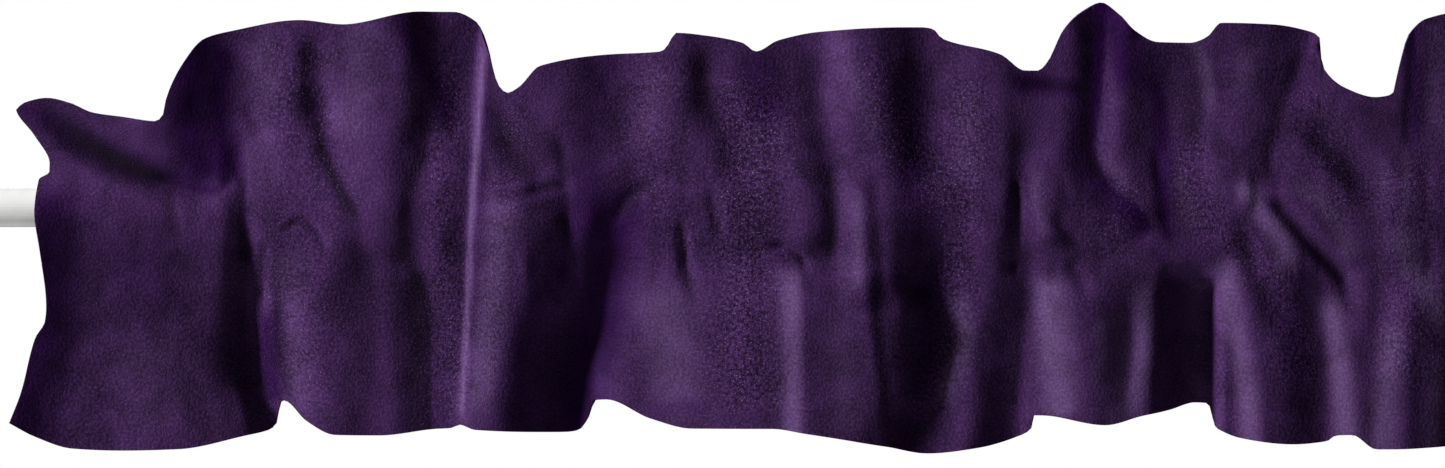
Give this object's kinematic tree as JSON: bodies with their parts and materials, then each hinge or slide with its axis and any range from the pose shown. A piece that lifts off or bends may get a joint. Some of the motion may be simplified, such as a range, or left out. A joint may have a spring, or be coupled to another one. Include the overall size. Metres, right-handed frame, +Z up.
{
  "type": "gathered window valance on a round curtain rod",
  "caption": "Short deep purple velvet valance gathered on a plain white round rod, with a standing ruffled heading above the rod pocket and an uneven folded skirt below.",
  "frame": {"origin": "centre of the rod's left end face", "axes": "+X along the rod from its left end to its right end, -Y towards the room, +Z up"},
  "size_m": [1.22, 0.0565, 0.3147],
  "materials": {
    "valance_velvet": "short pile velvet",
    "rod_enamel": "satin"
  },
  "bodies": {
    "root": {"valance_cloth": "valance_velvet", "curtain_rod": "rod_enamel"}
  },
  "joints": []
}
